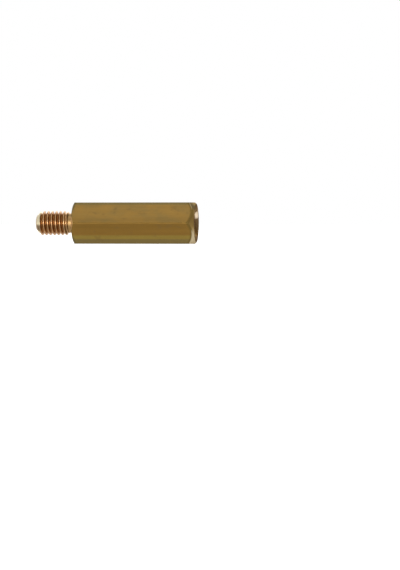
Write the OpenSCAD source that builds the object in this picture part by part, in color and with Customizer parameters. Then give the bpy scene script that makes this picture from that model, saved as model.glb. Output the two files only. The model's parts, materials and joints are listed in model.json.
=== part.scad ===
// Hexagonal standoff, turned from one length of drawn brass bar. It has a threaded stud at one end
// and a blind tapped hole at the other.
// It lies on one of its flats with its axis along X: the stud points to -X, the open end to +X.
// The origin is on the axis, in the plane of the shoulder that the stud stands out of.

/* [Hexagonal body] */
// Width of the drawn bar across its flats
across_flats = 5; // [4.5:0.1:8]
// Length of the body, from the shoulder to the open end
body_length = 15; // [12:0.5:40]
// Rounding of the bar's six long corners
corner_radius = 0.12; // [0.04:0.01:0.3]

/* [Turned ends] */
// How far short of the flats the round edge of each end face stops
face_inset = 0.14; // [0.05:0.01:0.3]
// Slope of the shoulder's chamfer, measured from the end face
shoulder_chamfer_angle = 30; // [20:1:45]
// Slope of the open end's chamfer, measured from the end face
open_chamfer_angle = 50; // [20:1:60]

/* [Threaded stud] */
// Nominal diameter of the stud's thread
stud_thread_d = 3; // [2.5:0.1:4]
// Pitch of the stud's thread
stud_pitch = 0.5; // [0.35:0.05:0.7]
// Length of the stud, from the shoulder to its tip
stud_length = 4.6; // [3:0.1:12]
// How much less than nominal the thread's crests measure across
crest_allowance = 0.05; // [0:0.01:0.1]
// Length of the plain neck between the shoulder and the thread
neck_length = 0.6; // [0.3:0.1:1.2]
// Width of the 45 degree chamfer at the stud's tip
tip_chamfer = 0.55; // [0.2:0.05:0.8]

/* [Tapped hole] */
// Nominal diameter of the hole's thread
hole_thread_d = 3; // [2.5:0.1:3.8]
// Pitch of the hole's thread
hole_pitch = 0.5; // [0.35:0.05:0.7]
// Depth of the drilled hole at its full width, from the open end
hole_depth = 10.5; // [5:0.5:11]
// How much wider than the thread the countersink is at the open end
countersink_margin = 0.3; // [0.1:0.05:0.6]
// Included angle of the countersink
countersink_angle = 90; // [80:1:120]
// Included angle of the drill's point
drill_point_angle = 118; // [90:1:140]

/* [Hidden] */
$fn = 96;

BRASS = [0.62, 0.50, 0.25];
CORNERS = 6;
// Half of the angle that one side of the hexagon spans
HALF_SIDE = 180 / CORNERS;
// Depth of a 60 degree external thread, and the width of its root, as shares of its pitch
THREAD_DEPTH_SHARE = 0.6134;
THREAD_ROOT_SHARE = 1 / 6;
// Slope of a thread's flanks, measured from a plane square to the axis
FLANK_ANGLE = 30;
// How far outside the crests the tool that cuts a groove starts
groove_clearance = 0.05;
// How far a cut or a joined shape runs past the face that it starts from
overrun = 0.5;

flat_r = across_flats / 2;
corner_centre_r = (flat_r - corner_radius) / cos(HALF_SIDE);
corner_reach = corner_centre_r + corner_radius;
face_r = flat_r - face_inset;
envelope_r = corner_reach + overrun;

stud_crest_r = (stud_thread_d - crest_allowance) / 2;
neck_r = stud_thread_d / 2 - THREAD_DEPTH_SHARE * stud_pitch;
neck_slope = stud_crest_r - neck_r;

// The grooves start where the neck's slope ends, and go on by a pitch at a time up to the tip's chamfer
groove_first = neck_length + neck_slope;
groove_count = floor((stud_length - tip_chamfer - groove_first) / stud_pitch) + 1;
groove_top_r = stud_crest_r + groove_clearance;
groove_root_half = THREAD_ROOT_SHARE * stud_pitch / 2;
groove_top_half = groove_root_half + (groove_top_r - neck_r) * tan(FLANK_ANGLE);

// The usual tapping drill is the thread's nominal diameter less one pitch
drill_r = (hole_thread_d - hole_pitch) / 2;
countersink_r = (hole_thread_d + countersink_margin) / 2;
countersink_depth = (countersink_r - drill_r) / tan(countersink_angle / 2);
drill_point_depth = drill_r / tan(drill_point_angle / 2);

// Lays a shape that was made along +Z down along +X
module along_x() {
    rotate([0, 90, 0])
        children();
}

// What the rounding takes off one corner of the hexagon, for a corner that lies on the X axis
module corner_waste() {
    reach = 2 * corner_radius;
    difference() {
        polygon([
            [corner_centre_r, 0],
            [corner_centre_r + reach * cos(HALF_SIDE), reach * sin(HALF_SIDE)],
            [corner_centre_r + reach * cos(HALF_SIDE), -reach * sin(HALF_SIDE)]
        ]);
        translate([corner_centre_r, 0])
            circle(r = corner_radius);
    }
}

// The bar's cross-section: a hexagon with flats above and below, and small round corners
module bar_section() {
    difference() {
        rotate(HALF_SIDE)
            circle(r = flat_r / cos(HALF_SIDE), $fn = CORNERS);
        for (k = [0:CORNERS - 1])
            rotate((2 * k + 1) * HALF_SIDE)
                corner_waste();
    }
}

// What the lathe leaves of the bar: a round envelope, coned at both ends down to the end faces
module turned_envelope() {
    reach = envelope_r - face_r;
    rotate_extrude()
        polygon([
            [0, 0],
            [face_r, 0],
            [envelope_r, reach * tan(shoulder_chamfer_angle)],
            [envelope_r, body_length - reach * tan(open_chamfer_angle)],
            [face_r, body_length],
            [0, body_length]
        ]);
}

module hexagonal_body() {
    intersection() {
        linear_extrude(body_length)
            bar_section();
        turned_envelope();
    }
}

// The stud before its thread is cut, with its plain neck and its chamfered tip
module stud_blank() {
    rotate_extrude()
        polygon([
            [0, overrun],
            [neck_r, overrun],
            [neck_r, -neck_length],
            [stud_crest_r, -neck_length - neck_slope],
            [stud_crest_r, tip_chamfer - stud_length],
            [stud_crest_r - tip_chamfer, -stud_length],
            [0, -stud_length]
        ]);
}

// What is cut away for one groove of the stud's thread: a ring with the thread's own section.
// The real grooves are a single right-hand helix, which passes through these rings at the part's front
module thread_groove() {
    rotate_extrude()
        polygon([
            [groove_top_r, -groove_top_half],
            [groove_top_r, groove_top_half],
            [neck_r, groove_root_half],
            [neck_r, -groove_root_half]
        ]);
}

module stud() {
    difference() {
        stud_blank();
        for (k = [0:groove_count - 1])
            translate([0, 0, -groove_first - k * stud_pitch])
                thread_groove();
    }
}

// The blind hole: the drill's point, its straight wall and the countersink at the open end
module drilled_hole() {
    mouth_slope = tan(countersink_angle / 2);
    rotate_extrude()
        polygon([
            [0, body_length - hole_depth - drill_point_depth],
            [drill_r, body_length - hole_depth],
            [drill_r, body_length - countersink_depth],
            [countersink_r + overrun * mouth_slope, body_length + overrun],
            [0, body_length + overrun]
        ]);
}

module standoff() {
    color(BRASS)
        along_x()
            difference() {
                union() {
                    hexagonal_body();
                    stud();
                }
                drilled_hole();
            }
}

standoff();
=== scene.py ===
"""Looks of the hexagonal brass standoff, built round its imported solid.

The standoff's surface is one closed mesh with the sizes of the solid, to which this script adds both
threads as true helices and a small rounding on every turned edge. Lengths are in millimetres up to the
point where a mesh, lamp or camera is made. Angles are in degrees, apart from HALF_SIDE and the turns that
the mesh is built with, which are in radians.
"""

import json
import math
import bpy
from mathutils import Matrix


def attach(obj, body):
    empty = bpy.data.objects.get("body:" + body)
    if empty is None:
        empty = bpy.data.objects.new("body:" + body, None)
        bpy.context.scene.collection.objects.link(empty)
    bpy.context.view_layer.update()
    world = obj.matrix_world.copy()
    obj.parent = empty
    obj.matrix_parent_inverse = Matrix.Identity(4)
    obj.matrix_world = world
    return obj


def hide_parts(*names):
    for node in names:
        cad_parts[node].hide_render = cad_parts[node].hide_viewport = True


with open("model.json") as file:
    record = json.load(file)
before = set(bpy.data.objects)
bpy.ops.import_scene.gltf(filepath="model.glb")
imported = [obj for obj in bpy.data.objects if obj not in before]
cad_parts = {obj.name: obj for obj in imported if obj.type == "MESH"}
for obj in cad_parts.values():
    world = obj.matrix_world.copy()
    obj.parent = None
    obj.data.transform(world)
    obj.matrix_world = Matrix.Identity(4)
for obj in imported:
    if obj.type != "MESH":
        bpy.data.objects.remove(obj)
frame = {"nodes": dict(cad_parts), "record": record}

from types import SimpleNamespace

import bpy
import numpy as np
from mathutils import Vector

NODE = "standoff"
BODY = "root"

MM = 0.001
# Vertices of the solid that are closer than this to a plane or a reach count as lying on it
CLOSE = 1e-3
CORNERS = 6
# Half of the angle that one side of the hexagon spans
HALF_SIDE = math.pi / CORNERS

# Threads: M3 x 0.5, with 60 degrees between the flanks
PITCH = 0.5
FLANK_ANGLE = 30
STUD_ROOT_SHARE = 1 / 6
# How far the stud's thread lies towards the body from the solid's rings, in pitches
STUD_LEAD = 0.09
HOLE_CREST_SHARE = 0.25
HOLE_THREAD_RADIUS = 1.51
HOLE_PHASE = 0.3
# The hole's thread is full to this depth, then fades out over the next length
HOLE_THREAD_DEPTH = 9.0
HOLE_THREAD_FADE = 0.8
# How far from their narrow ends the tip's chamfer and the countersink meet the rows of the threads
THREAD_END = 0.1
# Turns that a helix is given beyond each end of its stretch, before it is cut to that stretch
SPARE_TURNS = 2

# Roundings
CREST_ROUNDING = 0.03
ROOT_ROUNDING = 0.05
TURNED_EDGE_ROUNDING = 0.035
CHAMFER_CORNER_ROUNDING = 0.05
NECK_ROUNDING = 0.1
# The largest share of the line on either side of a corner that its rounding may take
ROUNDING_ROOM = 0.45

# Steps of the mesh
FLAT_STEPS = 12
CORNER_STEPS = 6
ROUNDING_STEPS = 4
FLANK_STEPS = 5
LENGTH_STEPS = 16
# Thread rows closer than this to the end of their stretch are joined to it
ROW_SNAP = 0.004
# A line of a thread's profile that covers more than this share of its depth is a flank
FLANK_SHARE = 0.6

# The photograph's frame, in pixels, and where the middle of the part lies in it
IMAGE_SIZE = (400, 570)
PART_PIXEL = (116.55, 223.1)
PIXELS_PER_MM = 8.215
VIEW_AZIMUTH = 9.8
VIEW_ELEVATION = 0.0
CAMERA_DISTANCE = 250.0
SENSOR = 36.0
# Nearest and farthest distance that the camera shows, in metres
CLIP_RANGE = (0.01, 20)

# Finishes, in the order of the mesh's material slots
DRAWN, CHAMFERED, FACED, SUNK, CUT, BORED = range(6)
# Faces that meet at more than this many degrees have a sharp edge between them
SHARP_ANGLE = 40

# A Mix node's own sockets for colours, among those that it has for other data
MIX_SHARE, MIX_FIRST, MIX_SECOND, MIX_RESULT = 0, 6, 7, 2

# Noise lies round 0.5. Nearly all of it is within its span, and two colours meet within the band
NOISE_SPAN = (0.3, 0.7)
COLOUR_BAND = (0.35, 0.65)
PLAIN_DETAIL = 2
FINE_DETAIL = 3

# Colours of the brass, as linear red, green and blue
FLAT_RIM = (0.65, 0.55, 0.45)
FACE_RIM = (0.35, 0.27, 0.2)
CUT_RIM = (1.0, 0.95, 0.9)
FLAT_OLIVE = (0.255, 0.165, 0.050)
FLAT_BROWN = (0.290, 0.172, 0.044)
FLAT_STAIN = (0.16, 0.10, 0.035)
# Painted shade of the lower front flat, also given to the upper back flat
FLAT_SHADE = (0.212, 0.121, 0.027)
# Painted shade along the lower corner; a thin line at the upper corner has the same darker, greener tone
CORNER_GREEN_SHADE = (0.195, 0.145, 0.053)
# Painted reflection of the floor: a lighter, greener band low on the lower front flat
FLAT_SHEEN = (0.250, 0.178, 0.042)
# Painted shade along the edges between the flats and the open end's chamfer
EDGE_SHADE = (0.13, 0.085, 0.022)
CHAMFER_DULL = (0.225, 0.15, 0.052)
# Painted shade at the front of the open end's chamfer, and the same tone at its back
CHAMFER_SHADE = (0.14, 0.08, 0.022)
SHOULDER_GREEN = (0.18, 0.145, 0.062)
# Painted shade beside the shoulder's chamfer
SHOULDER_EDGE_SHADE = (0.125, 0.105, 0.045)
# Painted highlight on the shoulder's chamfer and face at the front corner, where the neck's highlight runs
# on
SHOULDER_HIGHLIGHT = (0.78, 0.53, 0.25)
# Painted reflection on the open end's chamfer and the rim next to it, and the tone of matching spots at its
# back
CHAMFER_SHEEN = (0.46, 0.385, 0.25)
CHAMFER_GREY = (0.15, 0.118, 0.060)
FACE_DULL = (0.15, 0.11, 0.065)
FACE_BRIGHT = (0.30, 0.215, 0.11)
# Painted shade in the countersink
SINK_SHADE = (0.10, 0.052, 0.016)
# Painted highlight: the floor's reflection round the hole's mouth
SINK_HIGHLIGHT = (0.66, 0.54, 0.395)
CREST_COPPER = (0.46, 0.275, 0.135)
CREST_BROWN = (0.38, 0.225, 0.10)
# Painted shade in the stud's grooves, below the crests
GROOVE_SHADE = (0.27, 0.115, 0.030)
NECK_GOLD = (0.34, 0.21, 0.088)
# Painted highlight where the thread runs out into the neck
RUNOUT_HIGHLIGHT = (0.50, 0.33, 0.17)
# Painted highlight on the tip's chamfer
TIP_SHEEN = (0.64, 0.56, 0.375)
TIP_DARK = (0.20, 0.14, 0.075)
# Painted shade inside the hole, in two darknesses
BORE_SHADE_BROWN = (0.10, 0.048, 0.013)
BORE_SHADE_DARK = (0.05, 0.022, 0.006)

# Spots on the part: a turn round the axis, half the spot's width and the width of its soft border. Turn 0
# is the side away from the camera, 90 is up, and 180 is the bar's corner nearest the camera
# Painted shade on the lower front flat; the upper back flat gets the same darker tone
SHADED_LOW_FRONT_FLAT = (210, 30.5, 2)
HIGH_BACK_FLAT = (30, 30.5, 2)
# Painted reflection of the floor, low on the lower front flat
LOW_SHEEN_LINE = (223, 1, 9)
# A thin darker, greener line at the upper corner, and painted shade along the lower corner
HIGH_GREEN_LINE = (120, 4, 3)
LOW_SHADED_CORNER = (240, 10, 4)
# Painted shade: the flats a tenth darker near the front corner
SHADED_FRONT_CORNER = (180, 3, 19)
# The front corner, which has no painted shade beside the shoulder's chamfer
UNSHADED_CORNER = (180, 28, 18)
# Painted highlight at the shoulder's front corner
SHOULDER_HIGHLIGHT_SPOT = (180, 5, 18)
# Painted reflection on the open end's rim, low at the front and faintly at the top
LOW_RIM_SHEEN = (226, 16, 14)
HIGH_RIM_SHEEN = (122, 6, 14)
# Painted reflection low at the front of the open end's chamfer, with matching pale spots at its back
FRONT_CHAMFER_REFLECTION = (244, 20, 34)
UPPER_PALE_CHAMFER = (62, 4, 20)
LOWER_PALE_CHAMFER = (338, 4, 20)
# Painted shade at the front of the open end's chamfer; the back spot has the same tone
SHADED_FRONT_CHAMFER = (174, 8, 16)
DARK_BACK_CHAMFER = (12, 10, 16)
GREY_CHAMFER = (118, 8, 16)
# Painted highlights round the hole's mouth, far and near
FAR_MOUTH_HIGHLIGHT = (42, 7, 18)
NEAR_MOUTH_HIGHLIGHT = (149, 6, 12)
DARK_TIP = (213, 14, 16)
SHADED_STUD = (206, 8, 14)

# Light. Levels are shares of white, and elevations are above the horizon
WHITE = (1, 1, 1, 1)
FLOOR_COLOUR = (0.8, 0.8, 0.8, 1)
WHITE_ELEVATION = 15
GREY_ELEVATION = 75
ZENITH_LEVEL = 0.65
DIFFUSE_LEVEL = 0.75
FLOOR_GLOW = 0.62
FLOOR_SIDE = 6000
LAMP_DISTANCE = 500


def unit(angle):
    return np.array([math.cos(angle), math.sin(angle)])


def measure_part():
    """The part's sizes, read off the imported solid's own vertices and its mounts."""
    points = np.array([v.co for v in frame["nodes"][NODE].data.vertices]) / MM
    along, reach = points[:, 0], np.hypot(points[:, 1], points[:, 2])
    mounts = {m["name"]: m for m in frame["record"]["mounts"]}
    hole = mounts["female_thread"]

    size = SimpleNamespace()
    size.tip_x, size.end_x = along.min(), along.max()
    size.flat_r = points[:, 2].max()
    size.corner_r = reach.max()
    corner_x = along[reach > size.corner_r - CLOSE]
    size.shoulder_r = reach[np.abs(along) < CLOSE].max()
    size.neck_r = reach[np.abs(along) < CLOSE].min()
    size.shoulder_slope = corner_x.min() / (size.corner_r - size.shoulder_r)
    size.end_r = reach[along > size.end_x - CLOSE].max()
    size.end_slope = (size.end_x - corner_x.max()) / (size.corner_r - size.end_r)
    size.mouth_r = reach[along > size.end_x - CLOSE].min()
    size.tip_r = reach[along < size.tip_x + CLOSE].max()
    size.crest_r = mounts["stud"]["dims"]["r_mm"]
    size.neck_x = along[(along < -CLOSE) & (reach < size.neck_r + CLOSE)].max()
    size.drill_r = hole["dims"]["r_mm"]
    size.mouth_x = hole["pos_m"][0] / MM
    size.hole_x = size.mouth_x - hole["dims"]["length_mm"]
    size.point_x = along[(along > 0) & (reach < CLOSE)].min()
    sharp_r = size.flat_r / math.cos(HALF_SIDE)
    size.corner_rounding = (sharp_r - size.corner_r) / (1 / math.cos(HALF_SIDE) - 1)
    return size


def bar_outline(size):
    """Turns round the axis, and the bar's reach at each: six flats and six small round corners."""
    centre_r = (size.flat_r - size.corner_rounding) / math.cos(HALF_SIDE)
    half_flat = centre_r * math.sin(HALF_SIDE)
    outline = []
    for side in range(CORNERS):
        corner = centre_r * unit(2 * side * HALF_SIDE)
        for step in range(CORNER_STEPS):
            turn = (2 * side - 1 + 2 * step / CORNER_STEPS) * HALF_SIDE
            outline.append(corner + size.corner_rounding * unit(turn))
        middle = (2 * side + 1) * HALF_SIDE
        across = unit(middle + math.pi / 2)
        for step in range(FLAT_STEPS):
            share = 2 * step / FLAT_STEPS - 1
            outline.append(size.flat_r * unit(middle) + share * half_flat * across)
    outline = np.array(outline)
    turns = np.unwrap(np.arctan2(outline[:, 1], outline[:, 0]))
    return turns, np.hypot(outline[:, 0], outline[:, 1])


def rounded(corners, roundings):
    """A line through the corners, with each inner corner turned into an arc of that radius."""
    corners = [np.array(c, float) for c in corners]
    line = [corners[0]]
    for k in range(1, len(corners) - 1):
        before, here, after = corners[k - 1], corners[k], corners[k + 1]
        to_before, to_after = before - here, after - here
        room = ROUNDING_ROOM * min(np.linalg.norm(to_before), np.linalg.norm(to_after))
        to_before, to_after = (v / np.linalg.norm(v) for v in (to_before, to_after))
        half_turn = math.acos(max(-1.0, min(1.0, -to_before @ to_after))) / 2
        setback = min(room, roundings[k - 1] * math.tan(half_turn))
        start, end = here + setback * to_before, here + setback * to_after
        for step in range(ROUNDING_STEPS + 1):
            share = step / ROUNDING_STEPS
            # A quadratic curve lies within a hundredth of a millimetre of the arc
            line.append((1 - share) ** 2 * start + 2 * share * (1 - share) * here + share ** 2 * end)
    line.append(corners[-1])
    return line


def spread(start, end, steps):
    """Points from start up to but not including end."""
    return [start + (end - start) * k / steps for k in range(steps)]


def thread_profile(crest_r, root_r, crest_half):
    """One pitch of a thread as rows of (share of the pitch, radius), from the middle of a crest."""
    depth = abs(crest_r - root_r)
    root_x = crest_half + depth * math.tan(math.radians(FLANK_ANGLE))
    corners = [
        (0, crest_r),
        (crest_half, crest_r),
        (root_x, root_r),
        (PITCH - root_x, root_r),
        (PITCH - crest_half, crest_r),
        (PITCH, crest_r),
    ]
    line = rounded(corners, [CREST_ROUNDING, ROOT_ROUNDING, ROOT_ROUNDING, CREST_ROUNDING])
    rows = []
    for start, end in zip(line[:-1], line[1:]):
        on_flank = abs(end[1] - start[1]) > FLANK_SHARE * depth
        rows += spread(start, end, FLANK_STEPS if on_flank else 1)
    rows = np.array(rows)
    return rows[:, 0] / PITCH, rows[:, 1]


def stud_profile(size):
    """The stud's thread and its phase, which puts its grooves near the solid's rings at the front."""
    depth = size.crest_r - size.neck_r
    flank = depth * math.tan(math.radians(FLANK_ANGLE))
    crest_half = (1 - STUD_ROOT_SHARE) * PITCH / 2 - flank
    groove_x = size.neck_x - depth
    # Half a pitch gained by the helix up to the front, and half from crest to groove, make a whole one
    phase = (groove_x / PITCH + STUD_LEAD) % 1
    return thread_profile(size.crest_r, size.neck_r, crest_half), phase


class Skin:
    """Collects the vertices and faces of one closed surface, ring by ring along the axis."""

    def __init__(self, turns):
        self.turns = turns
        self.count = len(turns)
        self.points = []
        self.faces = []
        self.finishes = []
        self.last = None

    def add(self, x, radius, turn):
        self.points.append((x, radius * math.cos(turn), radius * math.sin(turn)))
        return len(self.points) - 1

    def face(self, corners, finish):
        kept = [c for k, c in enumerate(corners) if c != corners[k - 1]]
        if len(kept) > 2:
            self.faces.append(kept)
            self.finishes.append(finish)

    def join(self, ring, finish):
        if self.last is not None:
            for k in range(self.count):
                after = (k + 1) % self.count
                self.face([self.last[k], self.last[after], ring[after], ring[k]], finish)
        self.last = ring

    def ring(self, xs, radii, finish):
        xs, radii = np.broadcast_to(xs, self.count), np.broadcast_to(radii, self.count)
        self.join([self.add(x, r, t) for x, r, t in zip(xs, radii, self.turns)], finish)

    def centre(self, x, finish):
        """A single point on the axis, which closes the surface."""
        point = self.add(x, 0, 0)
        self.join([point] * self.count, finish)

    def helix(self, x_from, x_to, phase, profile, limit, finish):
        """A thread between two x, its rows running along the helix. limit trims radius at each x."""
        shares, radii = profile
        rows_per_turn = len(shares)
        first_turn = math.floor(x_from / PITCH - phase) - SPARE_TURNS
        turn_count = math.ceil((x_to - x_from) / PITCH) + 2 * SPARE_TURNS
        start = [self.add(x_from, limit(x_from, radii.mean()), t) for t in self.turns]
        end = [self.add(x_to, limit(x_to, radii.mean()), t) for t in self.turns]
        self.join(start, finish)
        grid = {}

        def point(row, k):
            if k == self.count:
                row, k = row + rows_per_turn, 0
            turn, step = divmod(row, rows_per_turn)
            lead = (self.turns[k] - self.turns[0]) / (2 * math.pi)
            x = PITCH * (first_turn + turn + shares[step] + phase + lead)
            if x <= x_from + ROW_SNAP:
                return start[k]
            if x >= x_to - ROW_SNAP:
                return end[k]
            if (row, k) not in grid:
                grid[row, k] = self.add(x, limit(x, radii[step]), self.turns[k])
            return grid[row, k]

        for row in range(turn_count * rows_per_turn):
            for k in range(self.count):
                before = [point(row, k), point(row, k + 1)]
                after = [point(row + 1, k + 1), point(row + 1, k)]
                self.face(before + after, finish)
        self.last = end


def stud_limit(size):
    """The stud's solid outside the thread: the neck, its 45 degree slope, and the tip's chamfer."""
    def limit(x, radius):
        tip = size.tip_r + (x - size.tip_x)
        neck = size.neck_r + max(0.0, size.neck_x - x)
        return min(radius, tip, neck)
    return limit


def hole_limit(size):
    """The hole's thread stays outside the drilled wall, opens into the countersink and fades at its end."""
    full_x = size.end_x - HOLE_THREAD_DEPTH

    def limit(x, radius):
        fade = max(0.0, full_x - x) / HOLE_THREAD_FADE
        thread = radius - fade * (HOLE_THREAD_RADIUS - size.drill_r)
        countersink = size.drill_r + (x - size.mouth_x)
        return max(size.drill_r, thread, countersink)
    return limit


def add_stud(skin, size, neck_middle):
    """The stud, from the middle of its tip to the middle of its plain neck."""
    skin.centre(size.tip_x, CUT)
    tip_end = (size.tip_x + THREAD_END, size.tip_r + THREAD_END)
    tip = [(size.tip_x, size.tip_r / 2), (size.tip_x, size.tip_r), tip_end]
    for x, radius in rounded(tip, [TURNED_EDGE_ROUNDING])[:-1]:
        skin.ring(x, radius, CUT)
    profile, phase = stud_profile(size)
    skin.helix(tip_end[0], neck_middle, phase, profile, stud_limit(size), CUT)


def body_line(size, neck_middle, reach):
    """The body's edge in one plane through the axis, from the middle of the neck to the countersink."""
    corners = [
        (neck_middle, size.neck_r),
        (0, size.neck_r),
        (0, size.shoulder_r),
        ((reach - size.shoulder_r) * size.shoulder_slope, reach),
        (size.end_x - (reach - size.end_r) * size.end_slope, reach),
        (size.end_x, size.end_r),
        (size.end_x, size.mouth_r),
        (size.mouth_x + THREAD_END, size.drill_r + THREAD_END),
    ]
    edge, corner = TURNED_EDGE_ROUNDING, CHAMFER_CORNER_ROUNDING
    return rounded(corners, [NECK_ROUNDING, edge, corner, corner, edge, edge])


def add_body(skin, size, neck_middle, bar_r):
    """The body, from the middle of the neck to the countersink."""
    rows = np.array([body_line(size, neck_middle, reach) for reach in bar_r]).transpose(1, 2, 0)
    stretches = (CUT, FACED, CHAMFERED, DRAWN, CHAMFERED, FACED, SUNK)
    for k, (xs, radii) in enumerate(rows[1:-1]):
        stretch, step = divmod(k, ROUNDING_STEPS + 1)
        # The first half of each rounding has the finish before it, and the rest the one after
        finish = stretches[stretch + (step > ROUNDING_STEPS / 2)]
        if step == 0 and finish == DRAWN:
            last_xs, last_radii = rows[k]
            for share in np.arange(1, LENGTH_STEPS) / LENGTH_STEPS:
                skin.ring(last_xs + share * (xs - last_xs), last_radii, DRAWN)
        skin.ring(xs, radii, finish)


def add_hole(skin, size):
    """The threaded hole, built from its bottom to its mouth, so that x rises along its helix too."""
    profile = thread_profile(size.drill_r, HOLE_THREAD_RADIUS, HOLE_CREST_SHARE * PITCH / 2)
    inner = Skin(skin.turns)
    inner.points = skin.points
    inner.centre(size.point_x, BORED)
    inner.ring(size.hole_x, size.drill_r, BORED)
    thread_start = size.end_x - HOLE_THREAD_DEPTH - HOLE_THREAD_FADE
    inner.helix(thread_start, size.mouth_x + THREAD_END, HOLE_PHASE, profile, hole_limit(size), BORED)
    inner.join(skin.last, SUNK)
    for corners, finish in zip(inner.faces, inner.finishes):
        skin.faces.append(corners[::-1])
        skin.finishes.append(finish)


def build_surface(size):
    """The whole standoff, from the middle of the stud's tip to the bottom of the hole."""
    turns, bar_r = bar_outline(size)
    skin = Skin(turns)
    neck_middle = size.neck_x / 2
    add_stud(skin, size, neck_middle)
    add_body(skin, size, neck_middle, bar_r)
    add_hole(skin, size)
    return skin


def add_object(name, data):
    added = bpy.data.objects.new(name, data)
    bpy.context.scene.collection.objects.link(added)
    return added


def make_mesh(name, skin, materials):
    mesh = bpy.data.meshes.new(name)
    mesh.from_pydata([tuple(c * MM for c in p) for p in skin.points], [], skin.faces)
    for material in materials:
        mesh.materials.append(material)
    mesh.polygons.foreach_set("material_index", skin.finishes)
    mesh.polygons.foreach_set("use_smooth", [True] * len(skin.faces))
    mesh.update()
    mesh.set_sharp_from_angle(angle=math.radians(SHARP_ANGLE))
    piece = add_object(name, mesh)
    # Large faces lead at the edges that they share with roundings, so that flats stay flat
    normals = piece.modifiers.new("normals", "WEIGHTED_NORMAL")
    normals.keep_sharp = True
    return piece


class Nodes:
    """Adds nodes to a tree. Each method returns an output, which the nodes after it can take."""

    def __init__(self, tree):
        self.tree = tree

    def feed(self, socket, value):
        if isinstance(value, bpy.types.NodeSocket):
            self.tree.links.new(value, socket)
        elif socket.type == "RGBA":
            socket.default_value = (*value, 1)
        else:
            socket.default_value = value

    def node(self, kind, *values, output=0, **settings):
        node = self.tree.nodes.new(kind)
        for name, value in settings.items():
            setattr(node, name, value)
        for socket, value in zip(node.inputs, values):
            self.feed(socket, value)
        return node.outputs[output]

    def math(self, operation, *values):
        return self.node("ShaderNodeMath", *values, operation=operation)

    def vector(self, operation, *values, output=0):
        return self.node("ShaderNodeVectorMath", *values, operation=operation, output=output)

    def fade(self, value, low, high, start=0.0, end=1.0):
        """Goes smoothly from start to end while value goes from low to high."""
        return self.node("ShaderNodeMapRange", value, low, high, start, end, interpolation_type="SMOOTHSTEP")

    def mix(self, share, first, second):
        node = self.tree.nodes.new("ShaderNodeMix")
        node.data_type = "RGBA"
        self.feed(node.inputs[MIX_SHARE], share)
        self.feed(node.inputs[MIX_FIRST], first)
        self.feed(node.inputs[MIX_SECOND], second)
        return node.outputs[MIX_RESULT]

    def background_share(self):
        """1 for camera, glossy and transmission rays, which see the white background, and 0 for the rest."""
        path = self.tree.nodes.new("ShaderNodeLightPath")
        total = path.outputs["Is Camera Ray"]
        for name in ("Is Glossy Ray", "Is Transmission Ray"):
            total = self.math("MAXIMUM", total, path.outputs[name])
        return total


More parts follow.
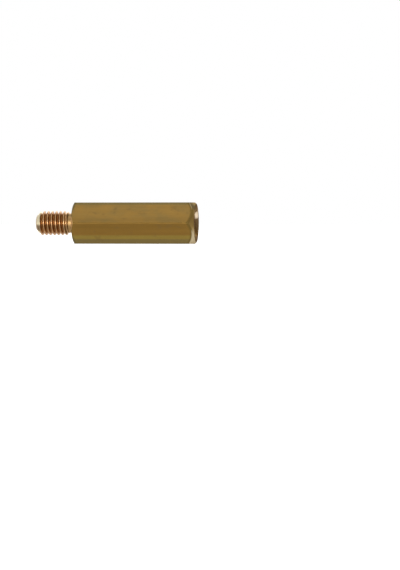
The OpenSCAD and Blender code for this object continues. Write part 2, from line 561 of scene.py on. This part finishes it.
class Paint(Nodes):
    """One finish of the brass, worked out from where a point lies along and round the part's axis."""

    def __init__(self, name):
        self.material = bpy.data.materials.new(name)
        self.material.use_nodes = True
        super().__init__(self.material.node_tree)
        coordinates = self.node("ShaderNodeTexCoord", output="Object")
        self.place = self.vector("MULTIPLY", coordinates, (1 / MM, 1 / MM, 1 / MM))
        self.x = self.node("ShaderNodeSeparateXYZ", self.place)
        across = self.vector("MULTIPLY", self.place, (0, 1, 1))
        self.radius = self.vector("LENGTH", across, output="Value")
        self.around = self.vector("NORMALIZE", across)

    def texture(self, place, detail):
        node = self.tree.nodes.new("ShaderNodeTexNoise")
        self.feed(node.inputs["Vector"], place)
        node.inputs["Scale"].default_value = 1
        node.inputs["Detail"].default_value = detail
        return node.outputs[0]

    def noise(self, along, across, detail=PLAIN_DETAIL, shift=0.0):
        """Noise round 0.5, with so many features per millimetre along the axis and across it."""
        scales = (along, across, across)
        return self.texture(self.vector("MULTIPLY_ADD", self.place, scales, (shift, shift, shift)), detail)

    def even_noise(self, per_mm, shift=0.0):
        """Fine noise round 0.5, with the same number of features per millimetre in all directions."""
        return self.noise(per_mm, per_mm, FINE_DETAIL, shift)

    def rings(self, per_mm):
        """Noise that changes only with the distance along the axis and from it, as a lathe leaves it."""
        place = self.node("ShaderNodeCombineXYZ", self.x, self.radius, 0.0)
        return self.texture(self.vector("MULTIPLY", place, (per_mm, per_mm, 0)), PLAIN_DETAIL)

    def patch(self, spot, inside=1.0, outside=0.0):
        """One value in a spot round the axis and another outside its soft border."""
        turn, width, softness = spot
        nearness = self.vector("DOT_PRODUCT", self.around, (0, *unit(math.radians(turn))), output="Value")
        inner, outer = (math.cos(math.radians(a)) for a in (width, width + softness))
        return self.fade(nearness, outer, inner, outside, inside)

    def past_edge(self, size):
        """How far the bar's own outline, at a point's turn, lies outside the point."""
        facing = None
        for side in range(CORNERS // 2):
            flat = (0, *unit((2 * side + 1) * HALF_SIDE))
            nearness = self.math("ABSOLUTE", self.vector("DOT_PRODUCT", self.around, flat, output="Value"))
            facing = nearness if facing is None else self.math("MAXIMUM", facing, nearness)
        return self.math("SUBTRACT", self.math("DIVIDE", size.flat_r, facing), self.radius)

    def shaded(self, colour, noise, amount):
        """The colour, brighter and darker with the noise by about the amount."""
        factor = self.node("ShaderNodeMapRange", noise, *NOISE_SPAN, 1 - amount, 1 + amount)
        return self.scaled(colour, factor)

    def scaled(self, colour, factor):
        scaled = self.vector("SCALE", colour)
        self.feed(scaled.node.inputs["Scale"], factor)
        return scaled

    def finish(self, colour, roughness, reliefs, rim):
        """Joins colour, roughness, reliefs (pairs of a height and its depth) and the rim's tint."""
        shader = self.tree.nodes["Principled BSDF"]
        shader.inputs["Metallic"].default_value = 1
        shader.inputs["Specular Tint"].default_value = (*rim, 1)
        self.feed(shader.inputs["Base Color"], colour)
        self.feed(shader.inputs["Roughness"], roughness)
        normal = None
        for height, depth in reliefs:
            bump = self.tree.nodes.new("ShaderNodeBump")
            bump.inputs["Distance"].default_value = depth * MM
            self.feed(bump.inputs["Height"], height)
            if normal is not None:
                self.feed(bump.inputs["Normal"], normal)
            normal = bump.outputs[0]
        self.feed(shader.inputs["Normal"], normal)
        return self.material


def open_edge_marks(paint, size):
    """Shares of the painted shade beside the open end's chamfer, and of the painted reflection on its rim.
    """
    outside_face = paint.math("SUBTRACT", paint.radius, size.end_r)
    chamfer_x = paint.math("MULTIPLY_ADD", outside_face, -size.end_slope, size.end_x)
    gap = paint.math("SUBTRACT", chamfer_x, paint.x)
    # Painted shade: a dark line on the flats beside the open end's chamfer
    dark = paint.fade(gap, low=0.16, high=0.42, start=0.8, end=0)
    # Painted reflection: a pale rim next to the chamfer, low at the front and faintly at the top
    high_sheen = paint.math("MULTIPLY", paint.patch(HIGH_RIM_SHEEN), 0.5)
    sheen_spots = paint.math("MAXIMUM", paint.patch(LOW_RIM_SHEEN), high_sheen)
    pale = paint.math("MULTIPLY", paint.fade(gap, low=0.06, high=0.17, start=0.9, end=0), sheen_spots)
    return dark, pale


def shoulder_edge_shade(paint, size):
    """Share of the painted shade beside the shoulder's chamfer, which the front corner doesn't have."""
    outside_shoulder = paint.math("SUBTRACT", paint.radius, size.shoulder_r)
    chamfer_x = paint.math("MULTIPLY", outside_shoulder, size.shoulder_slope)
    gap = paint.math("SUBTRACT", paint.x, chamfer_x)
    dark = paint.fade(gap, low=0.05, high=0.32, start=0.8, end=0)
    return paint.math("MULTIPLY", dark, paint.patch(UNSHADED_CORNER, inside=0, outside=1))


def drawn_brass(size):
    """The flats as drawn: dull and blotchy, with faint lines along the bar and dark edges at its ends."""
    paint = Paint("drawn_brass")
    blotches = paint.noise(along=0.4, across=0.7, detail=FINE_DETAIL)
    streaks = paint.noise(along=0.1, across=3.2, shift=7)
    lines = paint.noise(along=0.5, across=22, shift=3)
    grain = paint.even_noise(per_mm=15)
    dirt_and_shade = paint.noise(along=0.9, across=1.3, detail=4, shift=11)
    stains = paint.fade(dirt_and_shade, low=0.58, high=0.72, start=0, end=0.35)
    flat_shade = paint.math("MAXIMUM", paint.patch(SHADED_LOW_FRONT_FLAT), paint.patch(HIGH_BACK_FLAT))
    green = paint.math("MAXIMUM", paint.patch(HIGH_GREEN_LINE), paint.patch(LOW_SHADED_CORNER))
    edge_shade, rim_sheen = open_edge_marks(paint, size)

    colour = paint.mix(paint.fade(blotches, *COLOUR_BAND), FLAT_OLIVE, FLAT_BROWN)
    # Painted shade: the lower front flat darker, and the upper back flat as well
    colour = paint.mix(flat_shade, colour, FLAT_SHADE)
    # Painted reflection of the floor: a lighter, greener band low on the lower front flat
    colour = paint.mix(paint.patch(LOW_SHEEN_LINE), colour, FLAT_SHEEN)
    # Painted shade along the lower corner, and a thin line of the same tone at the upper corner
    colour = paint.mix(green, colour, CORNER_GREEN_SHADE)
    # Painted shade: the flats a tenth darker near the front corner
    colour = paint.scaled(colour, paint.patch(SHADED_FRONT_CORNER, inside=0.9, outside=1))
    colour = paint.mix(stains, colour, FLAT_STAIN)
    # Painted shade beside the open end's chamfer, then the painted reflection on its rim
    colour = paint.mix(edge_shade, colour, EDGE_SHADE)
    colour = paint.mix(rim_sheen, colour, CHAMFER_SHEEN)
    # Painted shade beside the shoulder's chamfer, away from the front corner
    colour = paint.mix(shoulder_edge_shade(paint, size), colour, SHOULDER_EDGE_SHADE)
    colour = paint.shaded(colour, streaks, amount=0.04)
    colour = paint.shaded(colour, lines, amount=0.03)
    colour = paint.shaded(colour, grain, amount=0.03)
    roughness = paint.fade(blotches, *NOISE_SPAN, start=0.54, end=0.46)
    return paint.finish(colour, roughness, [(lines, 0.0006), (grain, 0.0009)], FLAT_RIM)


def open_chamfer_marks(paint, open_end):
    """Shares of the pale, dark and grey spots, which only the open end's chamfer has. The pale one low at
    the front is a painted reflection and the dark one at the front painted shade.
    """
    pale = paint.patch(FRONT_CHAMFER_REFLECTION)
    for spot, share in ((UPPER_PALE_CHAMFER, 0.8), (LOWER_PALE_CHAMFER, 0.6)):
        pale = paint.math("MAXIMUM", pale, paint.math("MULTIPLY", paint.patch(spot), share))
    dark_front = paint.patch(SHADED_FRONT_CHAMFER, inside=0.55)
    dark = paint.math("MAXIMUM", dark_front, paint.patch(DARK_BACK_CHAMFER))
    grey = paint.patch(GREY_CHAMFER)
    return [paint.math("MULTIPLY", marks, open_end) for marks in (pale, dark, grey)]


def chamfered_brass(size):
    """Both ends' chamfers: turned, with rings, and with painted highlight, reflection and shade in places.
    """
    paint = Paint("chamfered_brass")
    rings = paint.rings(per_mm=24)
    wide_rings = paint.rings(per_mm=7)
    wear = paint.even_noise(per_mm=1.2, shift=5)
    grain = paint.even_noise(per_mm=20)
    open_end = paint.fade(paint.x, low=0.4 * size.end_x, high=0.6 * size.end_x)
    pale, dark, grey = open_chamfer_marks(paint, open_end)
    # Painted shade along the chamfer's edge with the flats, away from the rim's painted reflection
    near_edge = paint.fade(paint.past_edge(size), low=0, high=0.08, start=0.7, end=0)
    off_pale = paint.math("MULTIPLY", open_end, paint.patch(LOW_RIM_SHEEN, inside=0, outside=1))
    edge_shade = paint.math("MULTIPLY", near_edge, off_pale)

    # Painted highlight on the shoulder's chamfer at the front corner
    shoulder = paint.mix(paint.patch(SHOULDER_HIGHLIGHT_SPOT), SHOULDER_GREEN, SHOULDER_HIGHLIGHT)
    colour = paint.mix(paint.fade(wear, *COLOUR_BAND), CHAMFER_DULL, FLAT_OLIVE)
    colour = paint.mix(open_end, shoulder, colour)
    # Painted shade and painted reflection at the front of the chamfer, with matching spots at its back
    colour = paint.mix(dark, colour, CHAMFER_SHADE)
    colour = paint.mix(grey, colour, CHAMFER_GREY)
    colour = paint.mix(pale, colour, CHAMFER_SHEEN)
    colour = paint.mix(edge_shade, colour, EDGE_SHADE)
    colour = paint.shaded(colour, rings, amount=0.08)
    colour = paint.shaded(colour, wide_rings, amount=0.06)
    roughness = paint.fade(wear, *NOISE_SPAN, start=0.5, end=0.38)
    return paint.finish(colour, roughness, [(rings, 0.0010), (grain, 0.0006)], FLAT_RIM)


def faced_brass(size):
    """The shoulder and the ring round the hole's mouth: turned flat, dulled, with concentric rings and
    painted highlights.
    """
    paint = Paint("faced_brass")
    rings = paint.rings(per_mm=28)
    wide_rings = paint.rings(per_mm=8)
    dullness = paint.even_noise(per_mm=0.9, shift=2)
    grain = paint.even_noise(per_mm=20)
    far_inner = paint.fade(paint.radius, low=1.8, high=2.3, start=0.9, end=0.2)
    near_inner = paint.fade(paint.radius, low=1.75, high=2.2, start=0.7, end=0)
    # Painted highlights on the ring round the mouth, far and near
    far_highlight = paint.math("MULTIPLY", paint.patch(FAR_MOUTH_HIGHLIGHT), far_inner)
    near_highlight = paint.math("MULTIPLY", paint.patch(NEAR_MOUTH_HIGHLIGHT), near_inner)
    bright = paint.math("MAXIMUM", far_highlight, near_highlight)
    shoulder = paint.math("LESS_THAN", paint.x, size.end_x / 2)
    # Painted highlight on the shoulder's face at the front corner
    golden = paint.math("MULTIPLY", paint.patch(SHOULDER_HIGHLIGHT_SPOT), shoulder)

    colour = paint.mix(paint.fade(dullness, low=0.35, high=0.62), FACE_DULL, FACE_BRIGHT)
    colour = paint.mix(bright, colour, SINK_HIGHLIGHT)
    colour = paint.mix(golden, colour, SHOULDER_HIGHLIGHT)
    colour = paint.shaded(colour, rings, amount=0.12)
    colour = paint.shaded(colour, wide_rings, amount=0.08)
    roughness = paint.fade(wide_rings, *NOISE_SPAN, start=0.36, end=0.46)
    return paint.finish(colour, roughness, [(rings, 0.0012), (grain, 0.0005)], FACE_RIM)


def sunk_brass():
    """The countersink: painted shade, with rings and one painted highlight."""
    paint = Paint("sunk_brass")
    rings = paint.rings(per_mm=26)
    dirt_and_shade = paint.even_noise(per_mm=1.5, shift=9)
    grain = paint.even_noise(per_mm=20)

    # Painted shade in the countersink, blotched with a duller brass
    colour = paint.mix(paint.fade(dirt_and_shade, *COLOUR_BAND, start=0, end=0.35), SINK_SHADE, FACE_DULL)
    # Painted highlight: the floor's reflection high on the far side of the countersink
    colour = paint.mix(paint.patch(FAR_MOUTH_HIGHLIGHT), colour, SINK_HIGHLIGHT)
    colour = paint.shaded(colour, rings, amount=0.12)
    roughness = paint.fade(dirt_and_shade, *NOISE_SPAN, start=0.34, end=0.44)
    return paint.finish(colour, roughness, [(rings, 0.0010), (grain, 0.0005)], FLAT_RIM)


def cut_brass(size):
    """The stud: coppery crests, a plain golden neck, painted shade in the grooves and painted highlights on
    run-out and tip.
    """
    paint = Paint("cut_brass")
    lines = paint.rings(per_mm=30)
    wear = paint.even_noise(per_mm=1.6, shift=4)
    grain = paint.even_noise(per_mm=22)
    crest = paint.fade(paint.radius, low=1.24, high=1.4)
    neck = paint.fade(paint.x, low=size.neck_x - 0.7, high=size.neck_x - 0.3)
    plain_neck = paint.fade(paint.x, low=size.neck_x - 0.2, high=size.neck_x)
    chamfer_x = size.tip_x + size.crest_r - size.tip_r
    tip = paint.fade(paint.x, low=chamfer_x - 0.02, high=chamfer_x + 0.12, start=1, end=0)
    tip_face = paint.fade(paint.x, low=size.tip_x + 0.02, high=size.tip_x + 0.14, start=1, end=0)

    crests = paint.mix(paint.fade(wear, *COLOUR_BAND), CREST_BROWN, CREST_COPPER)
    # Painted shade in the grooves: darker below the crests
    colour = paint.mix(crest, GROOVE_SHADE, crests)
    # Painted highlight on the thread's run-out, then the plain neck's own colour
    colour = paint.mix(neck, colour, paint.mix(plain_neck, RUNOUT_HIGHLIGHT, NECK_GOLD))
    # Painted highlight: the tip's chamfer pale, with a darker spot low at the front
    tip_sheen = paint.mix(paint.patch(DARK_TIP), TIP_SHEEN, TIP_DARK)
    tip_sheen = paint.mix(tip_face, tip_sheen, CREST_BROWN)
    colour = paint.mix(tip, colour, tip_sheen)
    shade = paint.math("MAXIMUM", paint.patch(SHADED_STUD, inside=0.82, outside=1), tip_face)
    colour = paint.scaled(colour, shade)
    colour = paint.shaded(colour, lines, amount=0.09)
    colour = paint.shaded(colour, wear, amount=0.08)
    roughness = paint.fade(wear, *NOISE_SPAN, start=0.32, end=0.4)
    roughness = paint.math("MULTIPLY_ADD", plain_neck, 0.06, roughness)
    return paint.finish(colour, roughness, [(lines, 0.0008), (grain, 0.0005)], CUT_RIM)


def bored_brass():
    """The hole's wall and thread: dark brown painted shade, with the tap's fine marks."""
    paint = Paint("bored_brass")
    lines = paint.rings(per_mm=26)
    dirt_and_shade = paint.even_noise(per_mm=1.4, shift=6)
    grain = paint.even_noise(per_mm=20)

    # Painted shade inside the hole, blotched between two darknesses
    colour = paint.mix(paint.fade(dirt_and_shade, *COLOUR_BAND), BORE_SHADE_DARK, BORE_SHADE_BROWN)
    colour = paint.shaded(colour, lines, amount=0.12)
    roughness = paint.fade(dirt_and_shade, *NOISE_SPAN, start=0.36, end=0.5)
    return paint.finish(colour, roughness, [(lines, 0.0008), (grain, 0.0006)], FLAT_RIM)


def from_view(azimuth, elevation):
    """The direction from the part towards an eye or lamp. Azimuth 0 looks along +Y."""
    azimuth, elevation = math.radians(azimuth), math.radians(elevation)
    return Vector((
        math.sin(azimuth) * math.cos(elevation),
        -math.cos(azimuth) * math.cos(elevation),
        math.sin(elevation),
    ))


def make_camera(size):
    """Looks at the part as the photograph does. The part lies left of the frame's middle and above it."""
    middle = Vector(((size.tip_x + size.end_x) / 2, 0, 0))
    aside = (IMAGE_SIZE[0] / 2 - PART_PIXEL[0]) / PIXELS_PER_MM
    # The camera looks past the part, so it is turned less than the view of the part itself
    azimuth = VIEW_AZIMUTH - math.degrees(math.atan(aside / CAMERA_DISTANCE))
    right = from_view(azimuth + 90, 0)
    back = from_view(azimuth, VIEW_ELEVATION)
    long_side = max(IMAGE_SIZE)
    data = bpy.data.cameras.new("camera")
    data.sensor_width = SENSOR
    data.lens = PIXELS_PER_MM * CAMERA_DISTANCE * SENSOR / long_side
    data.shift_y = (PART_PIXEL[1] - IMAGE_SIZE[1] / 2) / long_side
    data.clip_start, data.clip_end = CLIP_RANGE
    camera = add_object("camera", data)
    camera.location = (middle + aside * right + CAMERA_DISTANCE * back) * MM
    camera.rotation_mode = "QUATERNION"
    camera.rotation_quaternion = back.to_track_quat("Z", "Y")
    bpy.context.scene.camera = camera


def make_world():
    """White round the horizon and greyer above, as in a white tent that is lit from its sides."""
    world = bpy.data.worlds.new("studio")
    bpy.context.scene.world = world
    world.use_nodes = True
    sky = Nodes(world.node_tree)
    direction = sky.node("ShaderNodeTexCoord", output="Generated")
    height = sky.node("ShaderNodeSeparateXYZ", direction, output="Z")
    low, high = (math.sin(math.radians(a)) for a in (WHITE_ELEVATION, GREY_ELEVATION))
    level = sky.fade(height, low, high, 1, ZENITH_LEVEL)
    share = sky.node("ShaderNodeMapRange", sky.background_share(), 0.0, 1.0, DIFFUSE_LEVEL, 1.0)
    background = world.node_tree.nodes["Background"]
    background.inputs["Color"].default_value = WHITE
    sky.feed(background.inputs["Strength"], sky.math("MULTIPLY", level, share))


def make_floor(size):
    """A white floor under the resting flat. Its glow makes it white in view, and it keeps the shadow."""
    side = FLOOR_SIDE * MM / 2
    level = -size.flat_r * MM
    mesh = bpy.data.meshes.new("floor")
    corners = [(-side, -side, level), (side, -side, level), (side, side, level), (-side, side, level)]
    mesh.from_pydata(corners, [], [(0, 1, 2, 3)])
    floor = add_object("floor", mesh)
    material = bpy.data.materials.new("floor_white")
    material.use_nodes = True
    paint = Nodes(material.node_tree)
    shader = material.node_tree.nodes["Principled BSDF"]
    shader.inputs["Base Color"].default_value = FLOOR_COLOUR
    shader.inputs["Roughness"].default_value = 1
    shader.inputs["Specular IOR Level"].default_value = 0
    shader.inputs["Emission Color"].default_value = WHITE
    glow = paint.math("MULTIPLY", paint.background_share(), FLOOR_GLOW)
    paint.feed(shader.inputs["Emission Strength"], glow)
    mesh.materials.append(material)


def make_lamp(name, azimuth, elevation, width, height, radiance):
    """A soft rectangular lamp that faces the part. Its radiance is how bright its face looks."""
    back = from_view(azimuth, elevation)
    data = bpy.data.lights.new(name, "AREA")
    data.shape = "RECTANGLE"
    data.size, data.size_y = width * MM, height * MM
    data.energy = radiance * math.pi * data.size * data.size_y
    lamp = add_object(name, data)
    lamp.location = back * LAMP_DISTANCE * MM
    lamp.rotation_mode = "QUATERNION"
    lamp.rotation_quaternion = back.to_track_quat("Z", "Y")


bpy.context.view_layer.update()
part = measure_part()
make_camera(part)
make_world()
make_floor(part)
make_lamp("front_softbox", azimuth=-VIEW_AZIMUTH, elevation=3, width=260, height=50, radiance=25)
make_lamp("top_softbox", azimuth=0, elevation=75, width=400, height=300, radiance=1)
make_lamp("back_softbox", azimuth=180, elevation=32, width=600, height=300, radiance=2)

finishes = [
    drawn_brass(part),
    chamfered_brass(part),
    faced_brass(part),
    sunk_brass(),
    cut_brass(part),
    bored_brass(),
]
standoff = make_mesh("standoff_body", build_surface(part), finishes)
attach(standoff, BODY)
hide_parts(NODE)

bpy.context.scene.view_settings.view_transform = "Standard"
